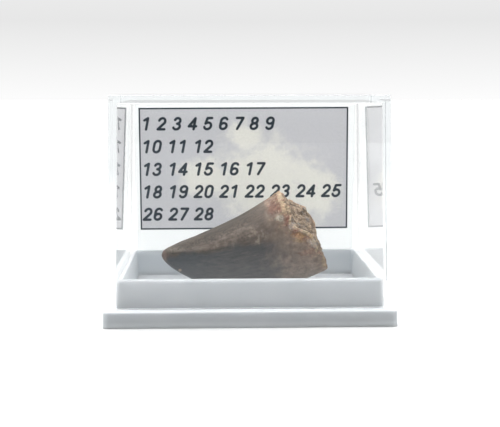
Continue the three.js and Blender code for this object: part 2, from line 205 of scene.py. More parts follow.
# Fossil: colours by noise, then single tints.
BROWNS = ((0.3, "#4a4239"), (0.45, "#554c44"), (0.58, "#5f564e"), (0.72, "#6b625a"))
SLATES = ((0.3, "#444648"), (0.47, "#4f5051"), (0.6, "#585858"), (0.74, "#686763"))
ROSES = ((0.33, "#78675b"), (0.45, "#88786b"), (0.56, "#968578"), (0.67, "#a59487"))
CRUSTS = ((0.36, "#5a4136"), (0.43, "#745749"), (0.49, "#8b6e5d"), (0.55, "#a58a76"), (0.61, "#c1ad95"),
          (0.7, "#e4d9c6"))
STONES = ((0.36, "#463a2e"), (0.44, "#776858"), (0.5, "#998a79"), (0.57, "#b6a58f"), (0.68, "#d8cab1"))
TOE_TINT, SCRATCH_TINT, SPECK_TINT = "#424b52", "#7d7c78", "#9c8f84"
RED_CRUST, OLIVE_CRUST = "#9c6351", "#aa9f7c"
CREAM, OLIVE_CREAM, RED_CREAM = "#dbcab0", "#aca27c", "#b67f69"
GLASSY_TINT, PIT_PAINTED_SHADE_TINT, HIGH_TINT = "#85878a", "#3a3129", "#c9b6a2"
TOOTH_TONE = (0.95, 0.895, 0.85)
# Fossil: where each colour starts and ends on its noise, height or distance, and its shares there.
BROWN_WAY, BROWN_RISE = (-0.18, 0.0, 1.0), (11.6, 15.2, -0.5, 0.5)
BROWN_WOBBLE, BROWN_ZONE = 1.1, (0.25, 0.75)
TOE_ZONE, HEEL_ZONE, HEEL_WOBBLE = (-4.0, -12.0, 0.0, 0.6), (6.5, 15.0, 0.0, 0.9), 9.0
CLOUDY, GRAINY, SCRATCHES = (0.35, 0.65, 0.95, 1.06), (0.3, 0.7, 0.93, 1.07), (0.58, 0.72, 0.0, 0.35)
FLECK_MIX, FLECKS = (1.5, 0.5), (0.88, 1.26, 0.05, 0.5)
WARM_WOBBLE, WARM_ZONE = 5.0, (-3.6, 2.0, 0.0, 0.8)
CRISPNESS, SPOTTINESS, CHALKINESS = (0.35, 0.65, 0.64, 1.2), (0.38, 0.62, 0.52, 1.28), (0.4, 0.6, 0.62, 1.2)
CRUST_WOBBLE, CRUST_APEX, CRUST_ZONE = (7.0, 3.0), (17.0, 21.0), (2.4, 5.4, 0.0, 0.95)
CRUST_RISE, CRUST_MIX = (11.0, 15.0, 0.3, 1.0), (0.4, 0.6)
REDNESS, OLIVENESS = (0.5, 0.62, 0.0, 0.6), (0.5, 0.4, 0.0, 0.5)
LIP_MIDDLE, LIP_ZONE = 0.1, (0.15, 0.7, 0.95, 0.0)
LIP_RISE, LIP_GAPS = (10.5, 13.0, 0.35, 1.0), (0.42, 0.57, 0.12, 1.0)
INSIDE_ZONE, GLASSINESS = (0.1, 0.7), (0.6, 0.65, 0.0, 0.6)
PIT_PAINTED_SHADE_ZONE, HIGH_ZONE = (-0.1, -0.5, 0.0, 0.85), (0.15, 0.6, 0.0, 0.4)
TOOTH_GLOSS, GLOSS_WOBBLE = (-2.5, 0.5, 0.46, 0.85), 0.2
PATCH_RAGGED, PATCH_EDGE = 1.8, (1.45, 2.05)

# Light: the overhead lamp's level, tilt and soft edge, the front and its dark middle where the camera
# stands, and the wall behind by height.
LAMP_LEVEL, LAMP_TILT, LAMP_EDGE = 4.5, -0.06, (0.8, 1.0)
SKY_FRONT, BACK_EDGE = 0.17, (-0.42, 0.38)
FRONT_BAND, FRONT_BAND_TOP, CAMERA_SIDE, CAMERA_EDGE = 0.62, 0.3, 0.13, (0.86, 0.95)
SKY_SPAN = (-0.02, 0.38)
LOW_SKY = [(0.0, 1.0), (0.05, 0.95), (0.2, 0.8), (0.5, 0.95), (0.75, 1.9), (1.0, 2.6)]

# Floor: its half span in metres, tints, the grey wedge of painted shade in front of the box, and how it
# dims far behind.
FLOOR_SPAN = 3.0
FLOOR_TINTS, FLOOR_PAINTED_SHADE_TINT, FLOOR_FADE = ((0.3, "#cecfcf"), (0.7, "#d3d4d4")), "#707275", (-150.0, -50.0)
FLOOR_WEDGE, FLOOR_WEDGE_EDGE = 0.13, (22.0, 58.0)
FLOOR_FAR, FLOOR_FAR_FADE = 0.8, (120.0, 300.0)

# Camera: place, turns from level, focal length, sensor width, and clipping in metres.
CAMERA_PLACE, CAMERA_TURN = (-5.98, -210.05, 44.41), (-0.1219, 0.001, -0.0311)
CAMERA_LENS, CAMERA_SENSOR, CAMERA_CLIP = 75.18, 36.0, (0.01, 20.0)


# Small tools

def linear(colour):
    """An sRGB colour such as #8090a0 as linear red, green, blue and alpha."""
    parts = [int(colour[i:i + 2], 16) / 255 for i in (1, 3, 5)]
    return tuple(((c + 0.055) / 1.055) ** 2.4 if c > 0.04045 else c / 12.92 for c in parts) + (1.0,)


def add(tree, kind, feeds=None, stops=None, **settings):
    """Adds a shader node. feeds gives its inputs, by name or number, as values, outputs or other nodes."""
    made = tree.nodes.new("ShaderNode" + kind)
    for name, value in settings.items():
        setattr(made, name, value)
    for key, feed in (feeds or {}).items():
        if isinstance(feed, bpy.types.Node):
            feed = next(socket for socket in feed.outputs if socket.enabled)
        if isinstance(feed, bpy.types.NodeSocket):
            tree.links.new(feed, made.inputs[key])
        else:
            made.inputs[key].default_value = feed
    if stops:
        elements = made.color_ramp.elements
        while len(elements) < len(stops):
            elements.new(0.5)
        for element, (place, colour) in zip(elements, stops):
            element.position = place
            element.color = linear(colour) if isinstance(colour, str) else (colour, colour, colour, 1.0)
    return made


def new_material(name):
    """An empty node material."""
    made = bpy.data.materials.new(name)
    made.use_nodes = True
    made.node_tree.nodes.clear()
    return made, made.node_tree


def maths(tree, operation, *feeds):
    """A Math node on numbers, outputs or other nodes."""
    return add(tree, "Math", dict(enumerate(feeds)), operation=operation)


def times(tree, first, second, plus=0.0):
    """The product of two values, plus a third."""
    return maths(tree, "MULTIPLY_ADD", first, second, plus)


def vectors(tree, operation, *feeds):
    """A Vector Math node, on places or colours."""
    return add(tree, "VectorMath", dict(enumerate(feeds)), operation=operation)


def slope(tree, value, start, end, low=0.0, high=1.0, **settings):
    """Goes straight from low to high while the value goes from start to end."""
    return add(tree, "MapRange", {0: value, 1: start, 2: end, 3: low, 4: high}, **settings)


def fade(tree, *feeds):
    """The same as slope, with a smooth start and end."""
    return slope(tree, *feeds, interpolation_type="SMOOTHSTEP")


def beyond(tree, value, low, high):
    """How far the value lies outside the range from low to high: negative inside it."""
    off_middle = maths(tree, "ABSOLUTE", maths(tree, "SUBTRACT", value, (low + high) / 2))
    return maths(tree, "SUBTRACT", off_middle, (high - low) / 2)


def ramp(tree, value, stops):
    """A colour, or a grey level, by the stops that the value falls between."""
    return add(tree, "ValToRGB", {0: value}, stops=stops)


def blend(tree, share, first, second):
    """The second colour mixed over the first by a share. A colour is sRGB text, an output or a node."""
    first, second = (linear(colour) if isinstance(colour, str) else colour for colour in (first, second))
    return add(tree, "Mix", {0: share, 6: first, 7: second}, data_type="RGBA")


def scaled(tree, colour, amount):
    """A colour or a place times an amount."""
    colour = linear(colour)[:3] if isinstance(colour, str) else colour
    return add(tree, "VectorMath", {0: colour, "Scale": amount}, operation="SCALE")


def noise(tree, place, size, detail, roughness):
    """Noise whose lumps are about the given size across."""
    feeds = {"Vector": place, "Scale": 1 / size, "Detail": detail, "Roughness": roughness}
    return add(tree, "TexNoise", feeds)


def place_mm(tree):
    """Object coordinates in millimetres."""
    return scaled(tree, add(tree, "TexCoord").outputs["Object"], 1 / MM)


def bump(tree, strength, depth, height, below=None):
    """Relief so many millimetres deep, on top of the relief below it."""
    feeds = {"Strength": strength, "Distance": depth * MM, "Height": height}
    return add(tree, "Bump", feeds if below is None else {**feeds, "Normal": below})


def piece(name, places, faces, looks):
    """A smooth mesh piece from points in millimetres, with its materials, that rides with the box."""
    mesh = bpy.data.meshes.new(name)
    mesh.from_pydata((np.asarray(places) * MM).tolist(), [], [list(f) for f in faces])
    mesh.polygons.foreach_set("use_smooth", np.ones(len(mesh.polygons), dtype=bool))
    for look in looks:
        mesh.materials.append(look)
    mesh.update()
    made = bpy.data.objects.new(name, mesh)
    bpy.context.scene.collection.objects.link(made)
    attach(made, "root")
    return made


def ring_faces(rings, sides):
    """The four-sided faces between neighbouring closed rings of points, as an array."""
    ring, side = np.meshgrid(np.arange(rings - 1), np.arange(sides), indexing="ij")
    here = ring * sides + side
    beside = ring * sides + (side + 1) % sides
    return np.stack([here, beside, beside + sides, here + sides], -1).reshape(-1, 4)


def eased_path(keys, steps=5, guard=0.12, cut_limit=0.45, guard_limit=0.49):
    """A path through key points whose corners are eased.

    Each key is (x, y, z, corner radius, cut). A corner is cut back by its cut along both of its sides and
    filled with a quadratic curve that starts and ends on the cuts. A guard point beyond each cut keeps the
    flats flat. The limits are the greatest shares of a side that a cut and its guard take.
    """
    keys = np.asarray(keys, float)
    path = [keys[:1, :4]]
    t = np.linspace(0, 1, steps + 1)[:, None]
    for before, corner, after in zip(keys[:-2, :4], keys[1:-1], keys[2:, :4]):
        cut, corner = corner[4], corner[:4]
        back, ahead = before - corner, after - corner
        back_length, ahead_length = np.linalg.norm(back[:3]), np.linalg.norm(ahead[:3])
        start = corner + back * min(cut / back_length, cut_limit)
        end = corner + ahead * min(cut / ahead_length, cut_limit)
        curve = (1 - t) ** 2 * start + 2 * t * (1 - t) * corner + t ** 2 * end
        before_start = corner + back * min((cut + guard) / back_length, guard_limit)
        after_end = corner + ahead * min((cut + guard) / ahead_length, guard_limit)
        path += [before_start[None], curve, after_end[None]]
    path.append(keys[-1:, :4])
    return np.concatenate(path)


def moulded_shell(path, shift=0.0, steps=7, guard=0.2):
    """A moulded wall: its outline carried round a rounded rectangle, closed flat at both ends.

    At each point of the path, the ring is the rectangle of half sizes x and y whose corners are arcs of
    that point's radius, shifted along Y. A guard point stands beside each end of each arc.
    """
    x, y, z, r = path.T[:, :, None]
    rings = []
    for corner in range(4):
        sign_x = 1 if corner in (0, 3) else -1
        sign_y = 1 if corner < 2 else -1
        turn = (corner + np.linspace(0, 1, steps + 1)) * math.pi / 2
        cosine, sine = np.cos(turn), np.sin(turn)
        arc = np.stack([sign_x * (x - r) + r * cosine, sign_y * (y - r) + r * sine], -1)
        first = arc[:, :1] + guard * np.array([sine[0], -cosine[0]])
        last = arc[:, -1:] + guard * np.array([-sine[-1], cosine[-1]])
        rings.append(np.concatenate([first, arc, last], 1))
    flat = np.concatenate(rings, 1)
    sides = flat.shape[1]
    places = np.concatenate([flat, np.broadcast_to(z[:, :, None], (len(path), sides, 1))], -1)
    places[:, :, 1] += shift
    faces = ring_faces(len(path), sides).tolist()
    faces.append(list(range(sides))[::-1])
    faces.append(list(range((len(path) - 1) * sides, len(path) * sides)))
    return places.reshape(-1, 3), faces


# Materials

def white_polystyrene():
    """Impact polystyrene, injection moulded in a satin mould: near white, faintly blue, softly glossy.

    The foot, the ledge round the block and the tray's walls are painted paler as painted light, the tray's
    floor is painted darker than its walls and the top of the front rim greyer as painted shade.
    """
    made, tree = new_material("white_polystyrene_moulded")
    place = place_mm(tree)
    x, y, z = add(tree, "SeparateXYZ", {0: place}).outputs
    satin = noise(tree, place, *SATIN)
    tint = ramp(tree, noise(tree, place, *FLOW), BASE_TINTS)
    # Painted light: the foot is painted paler towards the floor.
    tint = blend(tree, slope(tree, z, *FOOT_PAINTED_LIGHT), tint, FOOT_PAINTED_LIGHT_TINT)
    # Painted light: the ledge round the block is painted paler.
    ledge = times(tree, slope(tree, z, *LEDGE_UNDER), slope(tree, z, *LEDGE_OVER, 1.0, 0.0))
    tint = blend(tree, ledge, tint, LEDGE_PAINTED_LIGHT_TINT)
    # Painted light and shade: in the tray the walls are painted paler and the floor darker than them.
    inner_x, inner_y = BLOCK_WIDTH / 2 - RIM_THICKNESS, BLOCK_DEPTH / 2 - RIM_THICKNESS
    past_x, past_y = beyond(tree, x, -inner_x, inner_x), beyond(tree, y, -inner_y, inner_y)
    within = slope(tree, maths(tree, "MAXIMUM", past_x, past_y), *TRAY_EDGE, 1.0, 0.0)
    tint = blend(tree, within, tint, blend(tree, slope(tree, z, *TRAY_RISE), *TRAY_PAINTED_LIGHT_AND_SHADE_TINTS))
    # Painted shade: the top of the front rim is painted greyer.
    painted_rim_shade = times(tree, slope(tree, y, BRINK_EDGE - inner_y, -inner_y), slope(tree, z, *BRINK_BAND))
    tint = blend(tree, painted_rim_shade, tint, RIM_PAINTED_SHADE_TINT)
    shader = add(tree, "BsdfPrincipled", {
        "Base Color": tint, "Roughness": slope(tree, satin, *BASE_GLOSS), "IOR": 1.59,
        "Normal": bump(tree, 0.25, 0.02, satin), "Subsurface Weight": 1.0,
        "Subsurface Radius": (1.0, 1.0, 1.0), "Subsurface Scale": BASE_SCATTER * MM,
    })
    add(tree, "OutputMaterial", {"Surface": shader})
    return made


def clear_polystyrene():
    """General-purpose polystyrene, injection moulded in a polished mould: water clear with a cool cast.

    Faint scuffs dull it here and there, and the cut edge that it stands on is frosted.
    """
    made, tree = new_material("clear_polystyrene_moulded")
    place = place_mm(tree)
    z = add(tree, "SeparateXYZ", {0: place}).outputs[2]
    scuffed = slope(tree, noise(tree, place, *SCUFF), *COVER_GLOSS)
    frosted = slope(tree, z, *FOOT_FROST)
    shader = add(tree, "BsdfPrincipled", {
        "Base Color": linear(COVER_TINT), "Roughness": maths(tree, "MAXIMUM", scuffed, frosted),
        "Normal": bump(tree, 0.012, 0.02, noise(tree, place, *WAVE)), "IOR": 1.52,
        "Transmission Weight": 1.0,
    })
    haze = add(tree, "VolumeAbsorption", {"Color": linear(HAZE_TINT), "Density": HAZE_DENSITY})
    add(tree, "OutputMaterial", {"Surface": shader, "Volume": haze})
    return made


def thin_paper(tree, colour, fibre):
    """Thin paper lets light through: part of it scatters back and part goes on through the sheet."""
    matt = add(tree, "BsdfPrincipled", {
        "Base Color": colour, "Roughness": 0.75, "Normal": bump(tree, 0.3, 0.03, fibre), "IOR": 1.45,
        "Specular IOR Level": 0.3,
    })
    glow = add(tree, "BsdfTranslucent", {"Color": colour})
    sheet = add(tree, "MixShader", {0: PAPER_GLOW, 1: matt, 2: glow})
    add(tree, "OutputMaterial", {"Surface": sheet})


def printed_paper():
    """Office paper, laser printed: a grey ground with a pale cloud, dark numbers and a thin dark border."""
    made, tree = new_material("paper_laser_printed")
    print_place = add(tree, "UVMap", uv_map="print_mm")
    u, v, _ = add(tree, "SeparateXYZ", {0: print_place}).outputs
    ink = add(tree, "Attribute", attribute_name="ink_mm").outputs["Fac"]
    beside, over = beyond(tree, u, PRINT_LEFT, PRINT_RIGHT), beyond(tree, v, PRINT_LOW, PRINT_HIGH)
    outside = maths(tree, "MAXIMUM", beside, over)
    ground = slope(tree, outside, *PRINT_EDGE, 1.0, 0.0)
    border = slope(tree, maths(tree, "ABSOLUTE", outside), *BORDER_EDGE, 1.0, 0.0)
    numeral = slope(tree, ink, *NUMERAL_EDGE, 1.0, 0.0)
    far = FAR_OFF
    for lobe_u, lobe_v, wide, high in CLOUD_LOBES:
        off = vectors(tree, "SUBTRACT", print_place, (lobe_u, lobe_v, 0.0))
        squeezed = vectors(tree, "MULTIPLY", off, (1 / wide, 1 / high, 0.0))
        far = maths(tree, "SMOOTH_MIN", vectors(tree, "LENGTH", squeezed), far, CLOUD_JOIN)
    edge = times(tree, noise(tree, print_place, *WARP), CLOUD_RAGGED, far)
    cloud = fade(tree, edge, *CLOUD_EDGE, 1.0, 0.0)
    fibre = noise(tree, print_place, *FIBRE)
    tone = blend(tree, cloud, ramp(tree, fibre, GREY_GROUND), ramp(tree, fibre, CLOUD_GROUND))
    sheet = blend(tree, ground, PAPER_TINT, tone)
    thin_paper(tree, blend(tree, maths(tree, "MAXIMUM", border, numeral), sheet, INK_TINT), fibre)
    return made


def plain_paper():
    """The unprinted back and edges of the same paper: white, matt, with a faint fibre."""
    made, tree = new_material("paper_plain")
    fibre = noise(tree, place_mm(tree), *PLAIN_FIBRE)
    thin_paper(tree, ramp(tree, fibre, PLAIN_GROUND), fibre)
    return made


def patch(tree, place, roughened, centre, size, turn):
    """A ragged oval patch on the tooth's near side: 1 in its middle and 0 outside, seen along Y."""
    off = vectors(tree, "SUBTRACT", place, (centre[0], 0.0, centre[1]))
    level = add(tree, "VectorRotate", {"Vector": off, "Angle": turn}, rotation_type="Y_AXIS")
    squeezed = vectors(tree, "MULTIPLY", level, (1 / size[0], 0.0, 1 / size[1]))
    torn = times(tree, roughened, PATCH_RAGGED, vectors(tree, "LENGTH", squeezed))
    return fade(tree, torn, *PATCH_EDGE, 1.0, 0.0)


def fossil_enamel():
    """Phosphate fossil enamel and dentine, worn.

    The eye sees dull brown-mauve above and slate grey below, finely streaked along the crown, pale specks
    on its shoulder, a crust of pink, orange and cream at the broken edge, and gritty grey-brown inside. A
    pale band of painted highlight runs above the ridge near the tip, dark bands of painted shade run along
    the crown's top edge, and the pits of the break are darkened with painted shade.
    """
    made, tree = new_material("fossil_enamel_worn")
    place = place_mm(tree)
    x, _, z = add(tree, "SeparateXYZ", {0: place}).outputs
    along = add(tree, "Attribute", attribute_name="streak_place").outputs["Vector"]
    past_rim = add(tree, "Attribute", attribute_name="past_rim_mm").outputs["Fac"]
    height = add(tree, "Attribute", attribute_name="break_height").outputs["Fac"]
    streak, hair = noise(tree, along, *STREAK), noise(tree, along, *HAIR)
    broad, blotch, mottle, grit, fine, hue = (
        noise(tree, place, *kind) for kind in (BROAD, BLOTCH, MOTTLE, GRIT, FINE, HUE))

    # Slate below, brown above, darker towards the tip and rosy towards the heel.
    above = vectors(tree, "DOT_PRODUCT", place, BROWN_WAY)
    lift = slope(tree, above, *BROWN_RISE, clamp=False)
    brown = fade(tree, times(tree, broad, BROWN_WOBBLE, lift), *BROWN_ZONE)
    skin = blend(tree, brown, ramp(tree, streak, SLATES), ramp(tree, streak, BROWNS))
    slate = maths(tree, "SUBTRACT", 1.0, brown)
    skin = blend(tree, times(tree, fade(tree, x, *TOE_ZONE), slate), skin, TOE_TINT)
    heel = fade(tree, times(tree, broad, HEEL_WOBBLE, x), *HEEL_ZONE)
    rosy = ramp(tree, mottle, ROSES)
    skin = blend(tree, heel, skin, rosy)
    tone = times(tree, slope(tree, blotch, *CLOUDY), slope(tree, grit, *GRAINY))
    skin = scaled(tree, skin, tone)

    # Fine scratches low on the side and pale specks on the shoulder.
    scratch = times(tree, fade(tree, hair, *SCRATCHES), patch(tree, place, broad, *SCRATCHED))
    skin = blend(tree, scratch, skin, SCRATCH_TINT)
    dotted = times(tree, mottle, FLECK_MIX[0], times(tree, grit, FLECK_MIX[1]))
    fleck = fade(tree, dotted, *FLECKS)
    for centre, size, turn, strength in SPECKS:
        share = times(tree, patch(tree, place, blotch, centre, size, turn), fleck)
        skin = blend(tree, times(tree, share, strength), skin, SPECK_TINT)

    # Crust before the break, in reds, creams and olives, and the stains on it. Among the stains are a pale
    # band of painted highlight above the ridge near the tip and dark bands of painted shade along the top
    # edge.
    warm = fade(tree, times(tree, broad, WARM_WOBBLE, past_rim), *WARM_ZONE)
    skin = blend(tree, warm, skin, rosy)
    crisp, spotted = slope(tree, fine, *CRISPNESS), slope(tree, fine, *SPOTTINESS)
    reach = times(tree, blotch, CRUST_WOBBLE[0], past_rim)
    reach = times(tree, mottle, CRUST_WOBBLE[1], reach)
    reach = maths(tree, "ADD", reach, slope(tree, z, *CRUST_APEX))
    crusted = times(tree, fade(tree, reach, *CRUST_ZONE), slope(tree, z, *CRUST_RISE))
    grains = times(tree, grit, CRUST_MIX[0], times(tree, mottle, CRUST_MIX[1]))
    redder, olive = slope(tree, hue, *REDNESS), slope(tree, hue, *OLIVENESS)
    crust = blend(tree, redder, ramp(tree, grains, CRUSTS), RED_CRUST)
    crust = blend(tree, olive, crust, OLIVE_CRUST)
    skin = blend(tree, crusted, skin, scaled(tree, crust, spotted))
    chalky = times(tree, slope(tree, grains, *CHALKINESS), crisp)
    torn = maths(tree, "ADD", mottle, maths(tree, "SUBTRACT", grit, 0.5))
    # Some of these stains are painted light: a pale highlight above the ridge and dark shade along the top
    # edge.
    for centre, size, turn, colour, strength in STAINS_AND_PAINTED_LIGHT:
        share = times(tree, patch(tree, place, torn, centre, size, turn), strength)
        skin = blend(tree, share, skin, scaled(tree, colour, chalky))

    # Chalky lip along the broken edge, with gaps.
    off_edge = maths(tree, "ABSOLUTE", maths(tree, "ADD", past_rim, LIP_MIDDLE))
    lip = times(tree, fade(tree, off_edge, *LIP_ZONE), slope(tree, z, *LIP_RISE))
    lip = times(tree, lip, slope(tree, torn, *LIP_GAPS))
    cream = blend(tree, redder, blend(tree, olive, CREAM, OLIVE_CREAM), RED_CREAM)
    skin = blend(tree, lip, skin, scaled(tree, cream, chalky))

    # Stone inside the break, glassy in places, darkened in its pits and cracks by painted shade, and pale on
    # its heights.
    stone = scaled(tree, ramp(tree, grains, STONES), crisp)
    stone = blend(tree, fade(tree, blotch, *GLASSINESS), stone, GLASSY_TINT)
    stone = blend(tree, fade(tree, height, *PIT_PAINTED_SHADE_ZONE), stone, PIT_PAINTED_SHADE_TINT)
    stone = blend(tree, fade(tree, height, *HIGH_ZONE), stone, HIGH_TINT)
    inside = fade(tree, past_rim, *INSIDE_ZONE)
    surface = vectors(tree, "MULTIPLY", blend(tree, inside, skin, stone), TOOTH_TONE)

    relief = bump(tree, 0.3, 0.05, streak)
    relief = bump(tree, 0.35, 0.07, mottle, relief)
    relief = bump(tree, inside, 0.15, grit, relief)
    gloss = times(tree, mottle, GLOSS_WOBBLE, slope(tree, past_rim, *TOOTH_GLOSS))
    shader = add(tree, "BsdfPrincipled", {
        "Base Color": surface, "Roughness": gloss, "Normal": relief, "IOR": 1.55, "Specular IOR Level": 0.25,
    })
    add(tree, "OutputMaterial", {"Surface": shader})
    return made


# Box

def make_base(look):
    """The base as one moulding: pocket, foot ring, flange, block, rim and tray, each corner eased.

    Its outline runs from the pocket out, up and into the tray. Each stop of it stands some way outside the
    flange's or the block's edge, at its height.
    """
    flange, block = (FLANGE_WIDTH / 2, FLANGE_DEPTH / 2), (BLOCK_WIDTH / 2, BLOCK_DEPTH / 2)
    inner = -RIM_THICKNESS - TRAY_DEPTH * TRAY_LEAN
    stops = (
        (flange, -FOOT_WIDTH - POCKET_END, FOOT_POCKET),
        (flange, -FOOT_WIDTH - POCKET_LEAN, FOOT_POCKET),
        (flange, -FOOT_WIDTH, 0.0),
        (flange, FOOT_FLARE, 0.0),
        (flange, 0.0, FLANGE_HEIGHT),
        (block, BLOCK_RISE * BLOCK_LEAN, FLANGE_HEIGHT),
        (block, 0.0, RIM_TOP),
        (block, -RIM_THICKNESS, RIM_TOP),
        (block, inner, TRAY_FLOOR),
        (block, inner - TRAY_END, TRAY_FLOOR),
    )
    keys = [(x + out, y + out, z, *corner) for ((x, y), out, z), corner in zip(stops, BASE_CORNERS)]
    places, faces = moulded_shell(eased_path(keys))
    made = piece("base_moulding", places, faces, [look])
    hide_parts("base_tray")
    return made


def cover_key(z, outward, r, cut):
    """A key of the cover's wall outline: the inner wall leans in as it rises, and outward goes from it."""
    grow = outward + COVER_LEAN * (RIM_TOP - z)
    half_x = BLOCK_WIDTH / 2 + SIDE_PLAY
    half_y = BLOCK_DEPTH / 2 + (FRONT_PLAY + REAR_PLAY) / 2
    return (half_x + grow, half_y + grow, z, r, cut)


def make_cover(look):
    """The cover as one clear moulding, open below, with eased edges."""
    ceiling = COVER_TOP - COVER_WALL
    inner, outer = COVER_CORNERS
    keys = [
        cover_key(ceiling, -COVER_FLATS[0], inner, 0.0),
        cover_key(ceiling, 0.0, inner, COVER_CUTS[0]),
        cover_key(COVER_FOOT, 0.0, inner, COVER_CUTS[1]),
        cover_key(COVER_FOOT, COVER_WALL, outer, COVER_CUTS[2]),
        cover_key(COVER_TOP, COVER_WALL, outer, COVER_CUTS[3]),
        cover_key(COVER_TOP, COVER_WALL - COVER_FLATS[1], outer, 0.0),
    ]
    places, faces = moulded_shell(eased_path(keys), shift=(REAR_PLAY - FRONT_PLAY) / 2)
    made = piece("cover_moulding", places, faces, [look])
    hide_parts("clear_cover")
    return made


# Card

def digit_strokes():
    """The digits 0 to 9 in a box one unit high: strokes of straight runs and arcs, as rows of points."""
    def arc(x, y, radius, start, end, stretch=1.0):
        turn = np.radians(np.linspace(start, end, ARC_POINTS))
        return np.stack([x + radius * np.cos(turn), y + stretch * radius * np.sin(turn)], -1)

    def run(*points):
        return np.array(points)

    hook = arc(0.3, 0.68, 0.22, 165, -30, 1.08)
    return [
        [np.concatenate([arc(0.31, 0.68, 0.22, 0, 180, 1.1), arc(0.31, 0.32, 0.22, 180, 360, 1.1),
                         run((0.53, 0.68))])],
        [run((0.12, 0.76), (0.36, 0.92), (0.36, 0.08))],
        [np.concatenate([hook, run((0.08, 0.09), (0.56, 0.09))])],
        [arc(0.29, 0.71, 0.2, 160, -90, 1.05), arc(0.29, 0.29, 0.23, 90, -160, 0.93)],
        [run((0.44, 0.08), (0.44, 0.9), (0.06, 0.3), (0.58, 0.3))],
        [np.concatenate([run((0.52, 0.91), (0.19, 0.91), (0.12, 0.5)),
                         arc(0.3, 0.33, 0.24, 130, -160, 1.05)])],
        [np.concatenate([arc(0.32, 0.7, 0.22, 30, 180, 1.0), arc(0.32, 0.31, 0.23, 180, 540, 0.98)])],
        [run((0.08, 0.91), (0.55, 0.91), (0.24, 0.08))],
        [arc(0.31, 0.7, 0.19, 0, 360, 1.08), arc(0.31, 0.29, 0.23, 0, 360, 0.92)],
        [np.concatenate([arc(0.31, 0.3, 0.22, 210, 360, 1.0), arc(0.31, 0.69, 0.23, 0, 360, 0.98)])],
    ]


def stroke_distance(u, v, x, y):
    """The least distance from each place to the straight runs between a row of points."""
    best = np.full(u.shape, FAR_OFF)
    for x0, y0, run_x, run_y in zip(x, y, np.diff(x), np.diff(y)):
        share = ((u - x0) * run_x + (v - y0) * run_y) / (run_x ** 2 + run_y ** 2 + TINY)
        share = np.clip(share, 0, 1)
        best = np.minimum(best, np.hypot(u - x0 - share * run_x, v - y0 - share * run_y))
    return best


def ink_distance(u, v):
    """How far each print place is from the edge of the nearest digit's stroke: negative inside the ink.

    The numbers run on from 1 in five rows. Each digit leans to the right by a share of its height.
    """
    nearest = np.full(u.shape, FAR_OFF)
    digits = digit_strokes()
    number = 1
    for row, last in enumerate(ROW_ENDS):
        foot = FIRST_ROW + (ROW_COUNT - 1 - row) * ROW_PITCH
        at = NUMERAL_X
        while number <= last:
            for digit in str(number):
                off_u, off_v = np.abs(u - at - NUMERAL_HEIGHT / 2), np.abs(v - foot - NUMERAL_HEIGHT / 2)
                box = np.maximum(off_u, off_v) < NUMERAL_HEIGHT
                for stroke in digits[int(digit)]:
                    x = at + NUMERAL_HEIGHT * (stroke[:, 0] * DIGIT_BREADTH + NUMERAL_SLANT * stroke[:, 1])
                    y = foot + NUMERAL_HEIGHT * stroke[:, 1]
                    gap = stroke_distance(u[box], v[box], x, y) - STROKE_WIDTH / 2
                    nearest[box] = np.minimum(nearest[box], gap)
                at += DIGIT_STEP
            at += WORD_GAP
            number += 1
    return nearest


def make_card(front_look, back_look):
    """The card as a thin leaning sheet, bowed a little forward.

    It comes forward evenly from its foot to its top. The bow is greatest in the middle: it falls off by the
    square of the distance to the side, and by a sine from the middle to the foot and to the top.
    """
    low, high = (np.array(corner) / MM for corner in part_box("label_card"))
    columns = int((high[0] - low[0]) / CARD_CELL) + 1
    rows = int((high[2] - low[2]) / CARD_CELL) + 1
    x, z = np.meshgrid(np.linspace(low[0], high[0], columns), np.linspace(low[2], high[2], rows))
    share = (z - low[2]) / (high[2] - low[2])
    front = (1 - share) * (high[1] - CARD_THICKNESS) + share * low[1]
    bow = CARD_BOW * (1 - (x / high[0]) ** 2) * np.sin(math.pi * share)
    places = np.stack([x, front - bow, z], -1).reshape(-1, 3)
    row, column = np.meshgrid(np.arange(rows - 1), np.arange(columns - 1), indexing="ij")
    here = (row * columns + column).ravel()
    faces = np.stack([here, here + 1, here + 1 + columns, here + columns], -1)
    made = piece("label_sheet", places, faces, [front_look, back_look])
    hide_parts("label_card")
    foot = z - low[2]
    print_x = (x + PRINT_TURN * foot).ravel()
    print_y = (foot - PRINT_TURN * x).ravel()
    corners = np.empty(len(made.data.loops), dtype=np.int32)
    made.data.loops.foreach_get("vertex_index", corners)
    uv = made.data.uv_layers.new(name="print_mm")
    uv.data.foreach_set("uv", np.stack([print_x, print_y], -1)[corners].ravel())
    ink = made.data.attributes.new("ink_mm", "FLOAT", "POINT")
    ink.data.foreach_set("value", ink_distance(print_x, print_y).astype(np.float32))
    body = made.modifiers.new("paper thickness", "SOLIDIFY")
    body.thickness = CARD_THICKNESS * MM
    body.offset = -1
    body.material_offset = 1
    body.material_offset_rim = 1
    return made


# Tooth

def lattice(i, j, k):
    """A fixed height between -1 and 1 for each whole step along three directions.

    It is the part after the decimal point of a great multiple of the sine of a weighted sum of the steps.
    """
    across, up, through = LATTICE_WEIGHTS
    wave = np.sin(i * across + j * up + k * through) * LATTICE_SPREAD
    return 2 * (wave - np.floor(wave)) - 1


def lumps(u, v, w):
    """Smooth lumps: the heights at the eight whole steps around a place, blended in between."""
    u, v, w = np.broadcast_arrays(u, v, w)
    i, j, k = np.floor(u), np.floor(v), np.floor(w)
    a, b, c = (t * t * (3 - 2 * t) for t in (u - i, v - j, w - k))
    height = 0
    for di in (0, 1):
        for dj in (0, 1):
            for dk in (0, 1):
                share = (a if di else 1 - a) * (b if dj else 1 - b) * (c if dk else 1 - c)
                height = height + share * lattice(i + di, j + dj, k + dk)
    return height


def ease(value, low, high):
    """Smooth share from 0 at low to 1 at high."""
    t = np.clip((value - low) / (high - low), 0, 1)
    return t * t * (3 - 2 * t)


